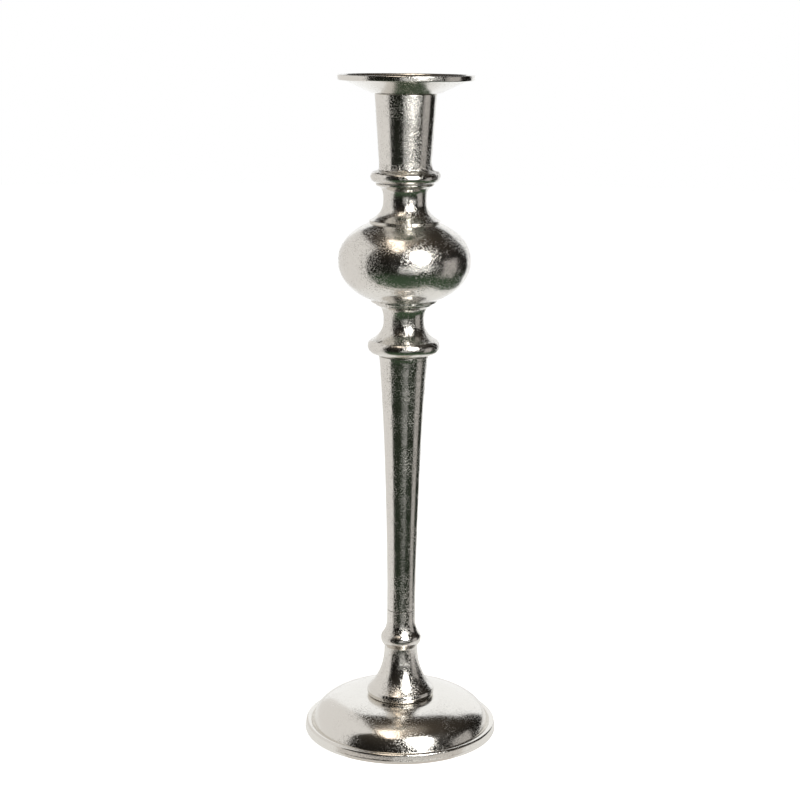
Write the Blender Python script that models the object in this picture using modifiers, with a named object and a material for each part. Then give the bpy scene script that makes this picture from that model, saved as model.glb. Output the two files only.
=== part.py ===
"""Tall candlestick of cast metal, nickel plated, with a lift-off drip plate.

Five castings stand on one upright axis: base, foot stem, shaft, knop and candle cup.
Threaded studs join them end to end, and a hexagon bolt pulls the base up to the foot stem.
A felt-covered board closes the hollow base. The drip plate has a sleeve that drops into
the cup, and it lifts straight out.

Each turned piece is drawn in millimetres as the outline of one half of its section: points
of (radius, height), from the top down the outer side and back up the bore, with height 0
on the face that the piece stands on.
"""
import math

import bmesh
import bpy

MM = 0.001

# ---- Driving dimensions, in millimetres -----------------------------------------------------
TOTAL_HEIGHT = 400.0
JOINT_GAP = 0.3             # left between pieces that touch
EASE = 0.4                  # easing of a sharp casting edge
FACETS = 36                 # facets round a casting
SMALL_FACETS = 20           # facets round a stud, bolt or washer
CREASE_ANGLE = 32.0         # sharper corners than this stay crisp, in degrees

# Base
BASE_RADIUS = 59.1
BASE_SEAT = 22.4            # height of the flat seat on top of the dome
BASE_WALL = 3.0
RIM_HEIGHT = 6.3
RIM_CLEARANCE = 0.15        # the metal rim stays this far above the table
GROOVE_RADIUS = 54.5        # where the dome meets the rim
GROOVE_HEIGHT = 5.2
REBATE_RADIUS = 54.4        # recess that takes the board and the felt
REBATE_DEPTH = 2.95
BOSS_RADIUS = 14.0
BOSS_THICKNESS = 5.0

# Foot stem
FOOT_STEM_HEIGHT = 54.2
FLANGE_RADIUS = 20.4
FLANGE_BAND = 4.1           # height of the rounded band round the flange
WAIST_RADIUS = 10.2
STEM_RING_RADIUS = 12.4
STEM_RING_HEIGHT = 36.0     # height of the small ring's middle
STEM_RING_HALF_HEIGHT = 3.0
STEM_TOP_RADIUS = 8.7

# Shaft
SHAFT_HEIGHT = 158.4
SHAFT_TOP_RADIUS = 15.0

# Knop
KNOP_HEIGHT = 101.9
KNOP_RADIUS = 39.2
BULB_CENTRE = 56.3
BULB_HALF_BELT = 1.0        # half of the short upright belt round the bulb
BULB_RISE = 25.6            # from the belt to the ellipse's pole
UPPER_LEDGE_RADIUS = 21.4
LOWER_LEDGE_RADIUS = 19.8
STEP_RADIUS = 17.0          # step under the lower ledge
UPPER_NECK_RADIUS = 12.9
LOWER_NECK_RADIUS = 12.2
DISC_RADIUS = 17.4          # disc on top of the upper neck
DISC_THICKNESS = 1.4
RING_RADIUS = 21.6
RING_CENTRE = 5.6
RING_HALF_WIDTH = 4.4
RING_HALF_HEIGHT = 4.6

# Candle cup
CUP_HEIGHT = 51.2
CUP_TOP_RADIUS = 18.3
CUP_FOOT_RADIUS = 15.3
BEAD_RADIUS = 20.5
BEAD_HALF_HEIGHT = 3.3
WELL_RADIUS = 11.8          # takes the foot of a 22 mm dinner candle
WELL_FLOOR = 22.0
COUNTERBORE_RADIUS = 14.5   # takes the drip plate's sleeve
COUNTERBORE_DEPTH = 16.4

# Drip plate
PLATE_RADIUS = 39.95
PLATE_FOOT_RADIUS = 21.0
PLATE_LEDGE_RADIUS = 35.6
PLATE_RIM_BAND = 3.4
PLATE_RIM_WIDTH = 2.6
PLATE_FLOOR = 2.7
SLEEVE_RADIUS = 14.2
SLEEVE_BORE_RADIUS = 11.6
SLEEVE_LENGTH = 16.0

# Studs, bolt and washers: M8
THREAD_RADIUS = 3.9
TAPPED_RADIUS = 4.2
BASE_HOLE_RADIUS = 4.5
STUD_LENGTH = 26.0
STUD_BORE_DEPTH = 13.6
BOLT_LENGTH = 30.0
BOLT_BORE_DEPTH = 21.0
BOLT_HEAD_ACROSS_FLATS = 13.0
BOLT_HEAD_HEIGHT = 5.3
CHAMFER = 0.6
WASHER_HOLE_RADIUS = 4.3
WASHER_RADIUS = 12.0
WASHER_THICKNESS = 2.0
LOCK_WASHER_RADIUS = 7.4
LOCK_WASHER_SPLIT = 1.2

# Board and felt under the base
PAD_RADIUS = 54.0
FELT_THICKNESS = 1.0
BOARD_THICKNESS = 1.5

# ---- Heights of the pieces, each standing on the one below ----------------------------------
FOOT_STEM_Z = BASE_SEAT + JOINT_GAP
SHAFT_Z = FOOT_STEM_Z + FOOT_STEM_HEIGHT + JOINT_GAP
KNOP_Z = SHAFT_Z + SHAFT_HEIGHT + JOINT_GAP
CUP_Z = KNOP_Z + KNOP_HEIGHT + JOINT_GAP
PLATE_Z = CUP_Z + CUP_HEIGHT + JOINT_GAP
PLATE_HEIGHT = TOTAL_HEIGHT - PLATE_Z
BOSS_FACE_Z = BASE_SEAT - BOSS_THICKNESS
WASHER_Z = BOSS_FACE_Z - JOINT_GAP - WASHER_THICKNESS
LOCK_WASHER_Z = WASHER_Z - JOINT_GAP - WASHER_THICKNESS
BOLT_HEAD_Z = LOCK_WASHER_Z - JOINT_GAP - BOLT_HEAD_HEIGHT
BOARD_Z = FELT_THICKNESS + JOINT_GAP


# ---- Outline helpers ------------------------------------------------------------------------
def arc(centre, radii, start, end, steps):
    """Points along an elliptical arc, its angles in degrees from outward towards upward."""
    points = []
    for i in range(steps + 1):
        angle = math.radians(start + (end - start) * i / steps)
        radius = centre[0] + radii[0] * math.cos(angle)
        height = centre[1] + radii[1] * math.sin(angle)
        points.append((radius, height))
    return points


def sweep(start, start_pull, end, end_pull, steps):
    """Points along a cubic curve that leaves each end in the direction of that end's pull."""
    corners = (
        start,
        (start[0] + start_pull[0], start[1] + start_pull[1]),
        (end[0] + end_pull[0], end[1] + end_pull[1]),
        end,
    )
    points = []
    for i in range(steps + 1):
        t = i / steps
        weights = ((1 - t) ** 3, 3 * t * (1 - t) ** 2, 3 * t * t * (1 - t), t ** 3)
        radius = sum(weight * corner[0] for weight, corner in zip(weights, corners))
        height = sum(weight * corner[1] for weight, corner in zip(weights, corners))
        points.append((radius, height))
    return points


def eased_corner(radius, height):
    """Outer top corner with its sharp edge taken off."""
    return [(radius - EASE, height), (radius, height - EASE)]


def tapped_from_top(height):
    """Blind stud hole, from its floor on the axis up to its mouth, in a face at height."""
    floor = height - STUD_BORE_DEPTH
    return [(0.0, floor), (TAPPED_RADIUS, floor), (TAPPED_RADIUS, height)]


def tapped_from_below(depth):
    """Blind hole in the face that a piece stands on, from its mouth up to the axis."""
    return [(TAPPED_RADIUS, 0.0), (TAPPED_RADIUS, depth), (0.0, depth)]


# ---- Outlines of the castings ---------------------------------------------------------------
def base_outline():
    """Domed foot with a moulded rim, hollow underneath, with a boss for the bolt."""
    seat_edge = (FLANGE_RADIUS, BASE_SEAT - 0.1)
    groove = (GROOVE_RADIUS, GROOVE_HEIGHT)
    shoulder_pull = (27.0, 0.0)
    groove_pull = (-3.9, 9.4)
    rim_round = (1.9, 1.3)
    foot_round = (0.8, 1.45)
    outline = [(BASE_HOLE_RADIUS, BASE_SEAT), (FLANGE_RADIUS - 1.4, BASE_SEAT)]
    outline += sweep(seat_edge, shoulder_pull, groove, groove_pull, 10)
    outline += arc((BASE_RADIUS - 2.5, RIM_HEIGHT - rim_round[1]), rim_round, 140, 0, 4)
    outline += arc((BASE_RADIUS - foot_round[0], RIM_CLEARANCE + foot_round[1]), foot_round, 40, -90, 4)
    return outline + base_hollow_outline()


def base_hollow_outline():
    """Underside of the base: rebate for the board, hollow dome and boss."""
    ledge = RIM_CLEARANCE + REBATE_DEPTH
    hollow_radius = REBATE_RADIUS - BASE_WALL
    hollow_top = BASE_SEAT - BASE_WALL
    side_pull = (-1.2, 9.5)
    roof_pull = (19.0, 0.0)
    roof_edge = (BOSS_RADIUS + 8.0, hollow_top)
    outline = [(REBATE_RADIUS, RIM_CLEARANCE), (REBATE_RADIUS, ledge), (hollow_radius, ledge)]
    outline += sweep((hollow_radius, ledge + 2.0), side_pull, roof_edge, roof_pull, 6)
    outline += [(BOSS_RADIUS + 1.2, hollow_top), (BOSS_RADIUS, BOSS_FACE_Z)]
    outline.append((BASE_HOLE_RADIUS, BOSS_FACE_Z))
    return outline


def foot_stem_outline():
    """Trumpet foot with a banded flange and a small ring below the shaft."""
    top = FOOT_STEM_HEIGHT
    ring = STEM_RING_HEIGHT
    ring_round = 1.2
    ring_radii = (ring_round, STEM_RING_HALF_HEIGHT)
    neck_start = (STEM_TOP_RADIUS + 0.1, ring + 11.5)
    neck_end = (STEM_RING_RADIUS - 1.1, ring + 3.4)
    waist = (WAIST_RADIUS, ring - 5.0)
    flange_edge = (FLANGE_RADIUS - 0.6, FLANGE_BAND)
    outline = tapped_from_top(top)
    outline += eased_corner(STEM_TOP_RADIUS, top)
    outline += sweep(neck_start, (0.1, -4.0), neck_end, (-1.5, 1.6), 4)
    outline += arc((STEM_RING_RADIUS - ring_round, ring), ring_radii, 65, -65, 4)
    outline += sweep(waist, (-0.1, -11.5), flange_edge, (-5.2, 6.7), 8)
    outline += [(FLANGE_RADIUS, FLANGE_BAND - 1.7), (FLANGE_RADIUS - 0.2, 0.6), (FLANGE_RADIUS - 0.8, 0.0)]
    return outline + tapped_from_below(BOLT_BORE_DEPTH)


def shaft_outline():
    """Slender shaft that widens upwards."""
    flare_start = (SHAFT_TOP_RADIUS - EASE, SHAFT_HEIGHT - 2.2)
    foot = (STEM_TOP_RADIUS, EASE)
    outline = tapped_from_top(SHAFT_HEIGHT)
    outline.append((SHAFT_TOP_RADIUS, SHAFT_HEIGHT))
    outline += sweep(flare_start, (-2.4, -24.0), foot, (0.0, 58.0), 12)
    outline.append((STEM_TOP_RADIUS - EASE, 0.0))
    return outline + tapped_from_below(STUD_BORE_DEPTH)


def knop_outline():
    """Flattened bulb between two necks, with a disc on top and a ring underneath."""
    outline = tapped_from_top(KNOP_HEIGHT)
    outline += upper_neck_outline()
    outline += bulb_outline()
    outline += lower_neck_outline()
    outline += arc((RING_RADIUS - RING_HALF_WIDTH, RING_CENTRE), (RING_HALF_WIDTH, RING_HALF_HEIGHT), 46, -80, 7)
    outline.append((SHAFT_TOP_RADIUS + EASE, 0.0))
    return outline + tapped_from_below(STUD_BORE_DEPTH)


def bulb_level(radius):
    """Height above the belt's edge at which the bulb has the given radius."""
    return BULB_RISE * math.sqrt(1.0 - (radius / KNOP_RADIUS) ** 2)


def bulb_outline():
    """The bulb, from the ledge above it to the ledge below it."""
    rise_above = bulb_level(UPPER_LEDGE_RADIUS - 0.6)
    rise_below = bulb_level(LOWER_LEDGE_RADIUS - 0.1)
    radii = (KNOP_RADIUS, BULB_RISE)
    start = math.degrees(math.asin(rise_above / BULB_RISE))
    end = math.degrees(math.asin(rise_below / BULB_RISE))
    upper_half = arc((0.0, BULB_CENTRE + BULB_HALF_BELT), radii, start, 0, 9)
    lower_half = arc((0.0, BULB_CENTRE - BULB_HALF_BELT), radii, 0, -end, 9)
    return upper_half + lower_half


def upper_neck_outline():
    """Disc, neck and thin ledge above the bulb."""
    top = KNOP_HEIGHT
    ledge = BULB_CENTRE + BULB_HALF_BELT + bulb_level(UPPER_LEDGE_RADIUS - 0.6) + 1.7
    under_disc = (DISC_RADIUS - 1.7, top - DISC_THICKNESS - 0.6)
    outline = eased_corner(DISC_RADIUS, top)
    outline.append((DISC_RADIUS - 0.2, top - DISC_THICKNESS))
    outline += sweep(under_disc, (-2.0, -1.2), (UPPER_NECK_RADIUS, top - 9.0), (0.0, 3.0), 4)
    outline += sweep((UPPER_NECK_RADIUS, top - 10.6), (0.0, -6.6),
                     (UPPER_LEDGE_RADIUS - 0.5, ledge + 0.1), (-2.6, 1.3), 5)
    outline += [(UPPER_LEDGE_RADIUS, ledge - 0.5), (UPPER_LEDGE_RADIUS - 0.4, ledge - 1.2)]
    return outline


def lower_neck_outline():
    """Ledge, step and neck below the bulb, down to the ring."""
    ledge = BULB_CENTRE - BULB_HALF_BELT - bulb_level(LOWER_LEDGE_RADIUS - 0.1)
    under_step = (STEP_RADIUS - 1.8, ledge - 3.6)
    ring_edge = (RING_RADIUS - 1.6, RING_CENTRE + 3.6)
    outline = [(LOWER_LEDGE_RADIUS, ledge - 0.6), (LOWER_LEDGE_RADIUS - 0.3, ledge - 1.3)]
    outline += [(STEP_RADIUS, ledge - 1.9), (STEP_RADIUS - 0.1, ledge - 2.9)]
    outline += sweep(under_step, (-1.9, -1.2), (LOWER_NECK_RADIUS, ledge - 11.5), (0.0, 3.0), 4)
    outline += sweep((LOWER_NECK_RADIUS, ledge - 13.0), (0.0, -5.6), ring_edge, (-3.6, 1.6), 5)
    return outline


def candle_cup_outline():
    """Tapered cup on a rounded bead, bored for the sleeve and the candle."""
    step = CUP_HEIGHT - COUNTERBORE_DEPTH
    bead_top = 2 * BEAD_HALF_HEIGHT
    bead_middle = BEAD_RADIUS - BEAD_HALF_HEIGHT
    bead_radii = (BEAD_HALF_HEIGHT, BEAD_HALF_HEIGHT)
    cup_foot = (CUP_FOOT_RADIUS, bead_top + 1.6)
    outline = [(0.0, WELL_FLOOR), (WELL_RADIUS, WELL_FLOOR), (WELL_RADIUS, step)]
    outline += [(COUNTERBORE_RADIUS, step), (COUNTERBORE_RADIUS, CUP_HEIGHT)]
    outline += eased_corner(CUP_TOP_RADIUS, CUP_HEIGHT)
    outline += sweep(cup_foot, (0.0, -1.0), (bead_middle + 0.6, bead_top), (-0.9, 0.1), 3)
    outline += arc((bead_middle, BEAD_HALF_HEIGHT), bead_radii, 70, -80, 7)
    outline.append((bead_middle, 0.0))
    return outline + tapped_from_below(STUD_BORE_DEPTH)


def drip_plate_outline():
    """Shallow dish with an upright rim band and a sleeve that hangs below its middle."""
    rim_top = PLATE_HEIGHT
    band_foot = rim_top - PLATE_RIM_BAND
    inner_rim = PLATE_RADIUS - PLATE_RIM_WIDTH
    return [
        (SLEEVE_BORE_RADIUS, PLATE_FLOOR - 0.7),
        (SLEEVE_BORE_RADIUS + 0.7, PLATE_FLOOR),
        (PLATE_FOOT_RADIUS - 1.6, PLATE_FLOOR),
        (inner_rim - 1.0, rim_top - 1.1),
        (inner_rim, rim_top),
        *eased_corner(PLATE_RADIUS, rim_top),
        (PLATE_RADIUS - 0.2, band_foot + EASE),
        (PLATE_RADIUS - 0.7, band_foot),
        (PLATE_LEDGE_RADIUS, band_foot - 0.1),
        (PLATE_FOOT_RADIUS, 0.0),
        (SLEEVE_RADIUS, 0.0),
        (SLEEVE_RADIUS, EASE - SLEEVE_LENGTH),
        (SLEEVE_RADIUS - EASE, -SLEEVE_LENGTH),
        (SLEEVE_BORE_RADIUS, -SLEEVE_LENGTH),
    ]


# ---- Outlines of the small pieces -----------------------------------------------------------
def stud_outline():
    """Threaded stud, drawn plain with chamfered ends, its middle at height 0."""
    half = STUD_LENGTH / 2
    return [
        (0.0, half),
        (THREAD_RADIUS - CHAMFER, half),
        (THREAD_RADIUS, half - CHAMFER),
        (THREAD_RADIUS, CHAMFER - half),
        (THREAD_RADIUS - CHAMFER, -half),
        (0.0, -half),
    ]


def washer_outline(radius):
    """Flat ring for the bolt, with its underside at height 0."""
    return [
        (WASHER_HOLE_RADIUS, WASHER_THICKNESS),
        (radius, WASHER_THICKNESS),
        (radius, 0.0),
        (WASHER_HOLE_RADIUS, 0.0),
    ]


def disc_outline(radius, thickness):
    """Flat disc with its underside at height 0."""
    return [(0.0, thickness), (radius, thickness), (radius, 0.0), (0.0, 0.0)]


# ---- Blender helpers ------------------------------------------------------------------------
def clear_scene():
    """Remove whatever the open file holds."""
    for obj in list(bpy.data.objects):
        bpy.data.objects.remove(obj, do_unlink=True)
    for collection in list(bpy.data.collections):
        bpy.data.collections.remove(collection)


def new_collection(name):
    """Make a collection in the scene."""
    collection = bpy.data.collections.new(name)
    bpy.context.scene.collection.children.link(collection)
    return collection


def new_empty(name, collection, height):
    """Make an empty on the candlestick's axis."""
    empty = bpy.data.objects.new(name, None)
    empty.location.z = height * MM
    collection.objects.link(empty)
    return empty


def new_material(name, colour, metallic, roughness):
    """Make a Principled material."""
    material = bpy.data.materials.new(name)
    material.use_nodes = True
    shader = material.node_tree.nodes["Principled BSDF"]
    shader.inputs["Base Color"].default_value = (*colour, 1.0)
    shader.inputs["Metallic"].default_value = metallic
    shader.inputs["Roughness"].default_value = roughness
    material.diffuse_color = (*colour, 1.0)
    return material


def settle(obj):
    """Apply an object's modifiers and shade it smooth, with its corners kept crisp."""
    graph = bpy.context.evaluated_depsgraph_get()
    mesh = bpy.data.meshes.new_from_object(obj.evaluated_get(graph))
    old_mesh = obj.data
    obj.modifiers.clear()
    obj.data = mesh
    bpy.data.meshes.remove(old_mesh)
    mesh.shade_smooth()
    mesh.set_sharp_from_angle(angle=math.radians(CREASE_ANGLE))


def turned(name, outline, facets, material, collection, parent, height):
    """Turn an outline about the upright axis and stand it at a height above its parent."""
    points = [(radius * MM, 0.0, level * MM) for radius, level in outline]
    edges = [(i, i + 1) for i in range(len(points) - 1)]
    if outline[0][0] > 0.0:
        edges.append((len(points) - 1, 0))
    mesh = bpy.data.meshes.new(name)
    mesh.from_pydata(points, edges, [])
    obj = bpy.data.objects.new(name, mesh)
    collection.objects.link(obj)
    screw = obj.modifiers.new("turn", "SCREW")
    screw.axis = "Z"
    screw.angle = math.tau
    screw.steps = facets
    screw.render_steps = facets
    screw.use_merge_vertices = True
    screw.merge_threshold = 0.00001
    settle(obj)
    obj.data.materials.append(material)
    obj.parent = parent
    obj.location.z = height * MM
    return obj


def from_bmesh(name, shape, collection):
    """Make an object from a bmesh and free the bmesh."""
    mesh = bpy.data.meshes.new(name)
    shape.to_mesh(mesh)
    shape.free()
    obj = bpy.data.objects.new(name, mesh)
    collection.objects.link(obj)
    return obj


def prism(name, sides, radius, depth, collection):
    """Make an upright prism with its underside at height 0."""
    shape = bmesh.new()
    bmesh.ops.create_cone(shape, cap_ends=True, segments=sides, radius1=radius * MM,
                          radius2=radius * MM, depth=depth * MM)
    bmesh.ops.translate(shape, verts=shape.verts, vec=(0.0, 0.0, depth * MM / 2))
    return from_bmesh(name, shape, collection)


def block(name, size, centre, collection):
    """Make a rectangular block about a centre."""
    shape = bmesh.new()
    bmesh.ops.create_cube(shape, size=1.0)
    bmesh.ops.scale(shape, verts=shape.verts, vec=[length * MM for length in size])
    bmesh.ops.translate(shape, verts=shape.verts, vec=[length * MM for length in centre])
    return from_bmesh(name, shape, collection)


def combine(obj, cutter, operation):
    """Join or cut an object with a second one, which then shows as wire only."""
    cutter.hide_render = True
    cutter.display_type = "WIRE"
    boolean = obj.modifiers.new("combine", "BOOLEAN")
    boolean.operation = operation
    boolean.solver = "EXACT"
    boolean.object = cutter
    bpy.context.view_layer.update()
    settle(obj)


# ---- The bolt and the split washer ----------------------------------------------------------
def build_base_bolt(material, parts, cutters, parent):
    """Hexagon-head bolt that stands up through the base into the foot stem."""
    overlap = 1.0
    hexagon_radius = BOLT_HEAD_ACROSS_FLATS / 2 / math.cos(math.pi / 6)
    bolt = prism("base_bolt", 6, hexagon_radius, BOLT_HEAD_HEIGHT, parts)
    shank = prism("bolt_shank", SMALL_FACETS, THREAD_RADIUS, BOLT_LENGTH + overlap, cutters)
    shank.location.z = (BOLT_HEAD_HEIGHT - overlap) * MM
    combine(bolt, shank, "UNION")
    bolt.data.materials.append(material)
    bolt.parent = parent
    bolt.location.z = BOLT_HEAD_Z * MM


def build_lock_washer(material, parts, cutters, parent):
    """Split spring washer under the bolt's head."""
    washer = turned("lock_washer", washer_outline(LOCK_WASHER_RADIUS), SMALL_FACETS,
                    material, parts, parent, LOCK_WASHER_Z)
    size = (LOCK_WASHER_RADIUS, LOCK_WASHER_SPLIT, 2 * WASHER_THICKNESS)
    centre = (LOCK_WASHER_RADIUS, 0.0, LOCK_WASHER_Z + WASHER_THICKNESS / 2)
    split = block("washer_split", size, centre, cutters)
    combine(washer, split, "DIFFERENCE")


# ---- Assembly -------------------------------------------------------------------------------
def build_castings(parts, stand, plate_lift):
    """Turn the five castings of the stand and the drip plate."""
    cast = new_material("nickel_cast", (0.79, 0.76, 0.73), 1.0, 0.16)
    polished = new_material("nickel_polished", (0.82, 0.80, 0.77), 1.0, 0.10)
    turned("base", base_outline(), FACETS, polished, parts, stand, 0.0)
    turned("foot_stem", foot_stem_outline(), FACETS, cast, parts, stand, FOOT_STEM_Z)
    turned("shaft", shaft_outline(), FACETS, cast, parts, stand, SHAFT_Z)
    turned("knop", knop_outline(), FACETS, cast, parts, stand, KNOP_Z)
    turned("candle_cup", candle_cup_outline(), FACETS, cast, parts, stand, CUP_Z)
    turned("drip_plate", drip_plate_outline(), FACETS, polished, parts, plate_lift, 0.0)


def build_fasteners(parts, cutters, stand):
    """Make the studs between the castings, and the bolt and washers under the base."""
    steel = new_material("steel_zinc_plated", (0.62, 0.63, 0.64), 1.0, 0.35)
    joints = (
        ("shaft_stud", SHAFT_Z),
        ("knop_stud", KNOP_Z),
        ("cup_stud", CUP_Z),
    )
    for name, height in joints:
        turned(name, stud_outline(), SMALL_FACETS, steel, parts, stand, height - JOINT_GAP / 2)
    turned("base_washer", washer_outline(WASHER_RADIUS), SMALL_FACETS, steel, parts, stand, WASHER_Z)
    build_lock_washer(steel, parts, cutters, stand)
    build_base_bolt(steel, parts, cutters, stand)


def build_underside(parts, stand):
    """Make the board that closes the base and the felt glued under it."""
    board = new_material("grey_board", (0.30, 0.27, 0.23), 0.0, 0.9)
    felt = new_material("black_felt", (0.02, 0.02, 0.02), 0.0, 1.0)
    turned("backing_board", disc_outline(PAD_RADIUS, BOARD_THICKNESS), FACETS, board, parts, stand, BOARD_Z)
    turned("felt_pad", disc_outline(PAD_RADIUS, FELT_THICKNESS), FACETS, felt, parts, stand, 0.0)


def main():
    """Build the candlestick."""
    clear_scene()
    parts = new_collection("candlestick")
    cutters = new_collection("candlestick_cutters")
    stand = new_empty("stand", parts, 0.0)
    plate_lift = new_empty("drip_plate_lift", parts, PLATE_Z)
    plate_lift.parent = stand
    build_castings(parts, stand, plate_lift)
    build_fasteners(parts, cutters, stand)
    build_underside(parts, stand)


main()
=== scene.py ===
"""Tall candlestick of cast metal with a bright nickel plate, standing on a pale floor.

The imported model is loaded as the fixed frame. Every piece here is a finer version of one of
its nodes: the castings get eased corners, a slightly uneven cast surface and the line where
the mould's halves met, and the studs and the bolt get real threads. Outlines are half
sections in millimetres, as (radius, height), from the top down the outer side.
"""
import math

import bpy
from mathutils import Matrix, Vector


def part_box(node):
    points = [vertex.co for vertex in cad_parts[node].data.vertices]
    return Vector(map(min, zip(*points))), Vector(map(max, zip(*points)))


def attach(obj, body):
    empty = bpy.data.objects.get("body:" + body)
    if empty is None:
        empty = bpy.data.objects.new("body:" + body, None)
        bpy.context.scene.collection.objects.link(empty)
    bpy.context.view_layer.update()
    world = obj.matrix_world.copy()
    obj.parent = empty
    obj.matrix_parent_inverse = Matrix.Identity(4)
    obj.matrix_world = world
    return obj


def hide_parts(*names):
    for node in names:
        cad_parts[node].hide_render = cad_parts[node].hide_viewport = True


bl_info = {
    "name": "Cast Candlestick",
    "version": (1, 0, 0),
    "blender": (4, 5, 0),
    "location": "View3D > Sidebar > Candlestick",
    "description": "Builds a nickel-plated cast candlestick with a lift-off drip plate",
    "category": "Object",
}

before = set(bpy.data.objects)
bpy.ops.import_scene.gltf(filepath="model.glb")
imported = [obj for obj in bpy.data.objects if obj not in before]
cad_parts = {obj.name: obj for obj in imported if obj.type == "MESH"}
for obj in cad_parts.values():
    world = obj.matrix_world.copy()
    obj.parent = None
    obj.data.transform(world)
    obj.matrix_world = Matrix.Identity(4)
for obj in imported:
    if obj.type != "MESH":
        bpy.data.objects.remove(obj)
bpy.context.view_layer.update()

MM = 0.001
STAND = "stand"
PLATE = "plate"

# ---- Heights that the frame gives, in millimetres ----
def span(node):
    """The height a node starts at and how tall it is."""
    low, high = (corner.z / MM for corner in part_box(node))
    return low, high - low


SEAT_DROP = 0.3             # the base's seat stays this far clear of the foot stem's end face
SLEEVE_LENGTH = 16.0

FOOT_STEM_Z, FOOT_STEM_HEIGHT = span("foot_stem")
SHAFT_Z, SHAFT_HEIGHT = span("shaft")
KNOP_Z, KNOP_HEIGHT = span("knop")
CUP_Z, CUP_HEIGHT = span("candle_cup")
BASE_SEAT = FOOT_STEM_Z - SEAT_DROP
PLATE_Z = span("drip_plate")[0] + SLEEVE_LENGTH
PLATE_HEIGHT = span("drip_plate")[1] - SLEEVE_LENGTH
WASHER_Z = span("base_washer")[0]
LOCK_WASHER_Z = span("lock_washer")[0]
BOLT_Z = span("base_bolt")[0]
BOARD_Z = span("backing_board")[0]

# ---- How finely the pieces are drawn ----
OUTLINE_STEP = 0.6          # longest stretch of outline between two points, in millimetres
CORNER_EASE = 0.35          # how far a corner is cut back to round it, in millimetres
CORNER_TURN = 25.0          # corners that turn more than this are rounded, in degrees
CREASE_ANGLE = 40.0         # sharper edges than this stay crisp, in degrees
CLOSE_UP = 0.000002         # points nearer than this are one point, in metres
SEAM_CROWDING = 0.8         # how much closer the knop's facets stand round the mould's seam
CURVE_LENGTH = 1.2          # length of a curve for each millimetre between its ends, about
CORNER_SHARE = 0.42         # most that rounding a corner takes off the stretches beside it
CORNER_STEPS = 4            # stretches that a rounded corner is drawn with
STUD_FACETS = 48
BOLT_FACETS = 120
WASHER_FACETS = 96
FACET_SHARES = {            # facets round each casting, as a share of the segments
    "base": 1.2, "foot_stem": 0.8, "shaft": 0.667, "knop": 0.867, "candle_cup": 0.8, "drip_plate": 1.0}

# ---- Surface of the castings ----
SEAM_STRAY = 0.09           # how far the seam wanders to either side, in radians
SEAM_TURNS = 90.0           # how often it wanders, in times per metre
OUTER_FACING = 0.2          # a wall that faces outwards less than this share has no seam
FILLET_HOLLOW = 1.6         # how hollow the solder is where it runs out
LUMPS_A_METRE = 330.0       # lumps along a metre of solder
WALL_MARGIN = 0.05          # points this near a thread's radius, in millimetres, are on its wall
SOLDERED = (5.0, 12.0)      # from where to where up the cup the solder left the metal coarser
SOLDER_COARSE = 1.2         # what that adds to the pits, as a share of a full one
CAST_STAIN = 0.3            # how far the tarnish shows in the castings' pits
POLISHED_STAIN = 0.1        # the same on the base and the drip plate
POLISHED_DEPTH = 0.5        # share of the pits' depth that their further polishing left


# ---- Sizes and colours that a user would change ----
def linear(hex_colour):
    """Linear RGB of an sRGB hex colour."""
    channels = [int(hex_colour[i:i + 2], 16) / 255 for i in (1, 3, 5)]
    return tuple(c / 12.92 if c <= 0.04045 else ((c + 0.055) / 1.055) ** 2.4 for c in channels)


def length(name, description, millimetres):
    """A length property, given in millimetres and kept in metres."""
    return bpy.props.FloatProperty(name=name, description=description, default=millimetres * MM,
                                   min=0.0, unit="LENGTH", precision=5)


def colour(name, description, hex_colour):
    """A colour property."""
    return bpy.props.FloatVectorProperty(name=name, description=description, size=3, min=0.0, max=1.0,
                                         default=linear(hex_colour), subtype="COLOR")


def factor(name, description, value, highest=1.0):
    """A plain number property."""
    return bpy.props.FloatProperty(name=name, description=description, default=value, min=0.0,
                                   max=highest, subtype="FACTOR")


class CandlestickSizes(bpy.types.PropertyGroup):
    """Outer sizes of the turned pieces."""

    base_radius: length("Base radius", "Radius of the foot's rim", 59.05)
    flange_radius: length("Flange radius", "Radius of the foot stem's flange", 20.7)
    stem_ring_radius: length("Stem ring radius", "Radius of the small ring above the trumpet", 12.4)
    stem_top_radius: length("Stem top radius", "Radius where foot stem and shaft meet", 8.7)
    shaft_top_radius: length("Shaft top radius", "Radius at the top of the shaft", 15.0)
    knop_radius: length("Knop radius", "Radius of the bulb", 39.2)
    upper_neck_radius: length("Upper neck radius", "Radius of the neck above the bulb", 12.9)
    lower_neck_radius: length("Lower neck radius", "Radius of the neck below the bulb", 12.2)
    ring_radius: length("Ring radius", "Radius of the ring under the lower neck", 21.6)
    bead_radius: length("Bead radius", "Radius of the bead under the cup", 20.5)
    cup_foot_radius: length("Cup foot radius", "Radius at the foot of the cup", 15.3)
    cup_top_radius: length("Cup top radius", "Radius at the mouth of the cup", 18.3)
    plate_radius: length("Plate radius", "Radius of the drip plate", 39.95)
    thread_radius: length("Thread radius", "Radius over the crests of the threads", 3.9)
    thread_pitch: length("Thread pitch", "Rise of the thread in one turn", 1.25)
    pad_radius: length("Pad radius", "Radius of the board and the felt", 54.0)


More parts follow.
